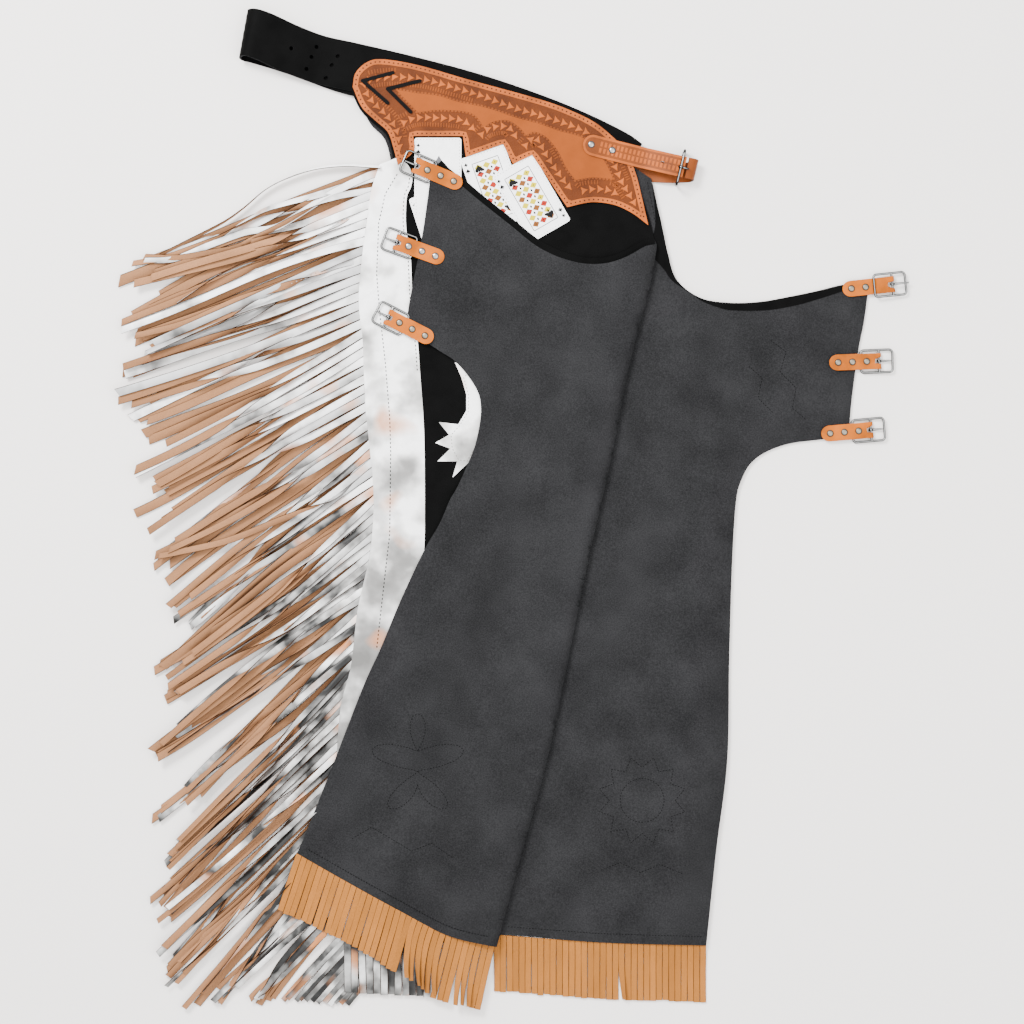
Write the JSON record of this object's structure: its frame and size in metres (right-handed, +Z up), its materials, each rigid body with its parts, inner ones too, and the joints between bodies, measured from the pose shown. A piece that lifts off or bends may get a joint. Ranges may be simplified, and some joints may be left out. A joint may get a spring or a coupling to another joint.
{
  "type": "bull riding chaps",
  "caption": "Fringed leather riding chaps laid flat and folded at the front centre, with waist belt, tooled yokes, thigh buckles, card appliques and long side fringe.",
  "frame": {"origin": "on the floor under the middle of the laid pair", "axes": "+X towards the folded front edges, +Y from the hem to the waist along the legs, +Z up from the floor"},
  "size_m": [0.951, 1.1996, 0.0272],
  "materials": {
    "suede": "dark grey flesh side, napped",
    "black_leather": "black grain side, matte",
    "silver_foil": "silver foil finish, glossy",
    "tan_suede": "tan, matte",
    "russet": "russet tooling leather, satin",
    "white_leather": "white, smooth",
    "nickel": "nickel plated, bright"
  },
  "bodies": {
    "chaps": {"leg_right": "suede", "leg_left": "suede", "waist_belt": "black_leather", "lace_outer": "black_leather", "lace_inner": "black_leather", "side_fringe_right": "silver_foil", "leaf_scroll": "silver_foil", "side_fringe_left": "tan_suede", "hem_fringe_right": "tan_suede", "hem_fringe_left": "tan_suede", "thigh_tab_right_1": "tan_suede", "thigh_tab_right_2": "tan_suede", "thigh_tab_right_3": "tan_suede", "thigh_tab_left_1": "tan_suede", "thigh_tab_left_2": "tan_suede", "thigh_tab_left_3": "tan_suede", "yoke_right": "russet", "yoke_left": "russet", "front_strap_right": "russet", "front_strap_left": "russet", "card_tucked": "white_leather", "card_ace": "white_leather", "card_king": "white_leather", "card_queen": "white_leather", "front_rivet_1": "nickel", "front_rivet_2": "nickel", "front_buckle": "nickel", "front_prong": "nickel", "thigh_buckle_right_1": "nickel", "thigh_prong_right_1": "nickel", "thigh_rivet_right_1_1": "nickel", "thigh_rivet_right_1_2": "nickel", "thigh_rivet_right_1_3": "nickel", "thigh_buckle_right_2": "nickel", "thigh_prong_right_2": "nickel", "thigh_rivet_right_2_1": "nickel", "thigh_rivet_right_2_2": "nickel", "thigh_rivet_right_2_3": "nickel", "thigh_buckle_right_3": "nickel", "thigh_prong_right_3": "nickel", "thigh_rivet_right_3_1": "nickel", "thigh_rivet_right_3_2": "nickel", "thigh_rivet_right_3_3": "nickel", "thigh_buckle_left_1": "nickel", "thigh_rivet_left_1_1": "nickel", "thigh_rivet_left_1_2": "nickel", "thigh_buckle_left_2": "nickel", "thigh_prong_left_2": "nickel", "thigh_rivet_left_2_1": "nickel", "thigh_rivet_left_2_2": "nickel", "thigh_rivet_left_2_3": "nickel", "thigh_buckle_left_3": "nickel", "thigh_prong_left_3": "nickel", "thigh_rivet_left_3_1": "nickel", "thigh_rivet_left_3_2": "nickel", "thigh_rivet_left_3_3": "nickel"},
    "prong_left_1": {"thigh_prong_left_1": "nickel"}
  },
  "joints": [
    {"name": "prong_left_1_hinge", "type": "hinge", "parent": "chaps", "child": "prong_left_1", "pos_m": [0.45542, 0.27173, 0.0053], "axis": [0.1045, -0.9945, 0], "range_deg": [0, 120]}
  ]
}
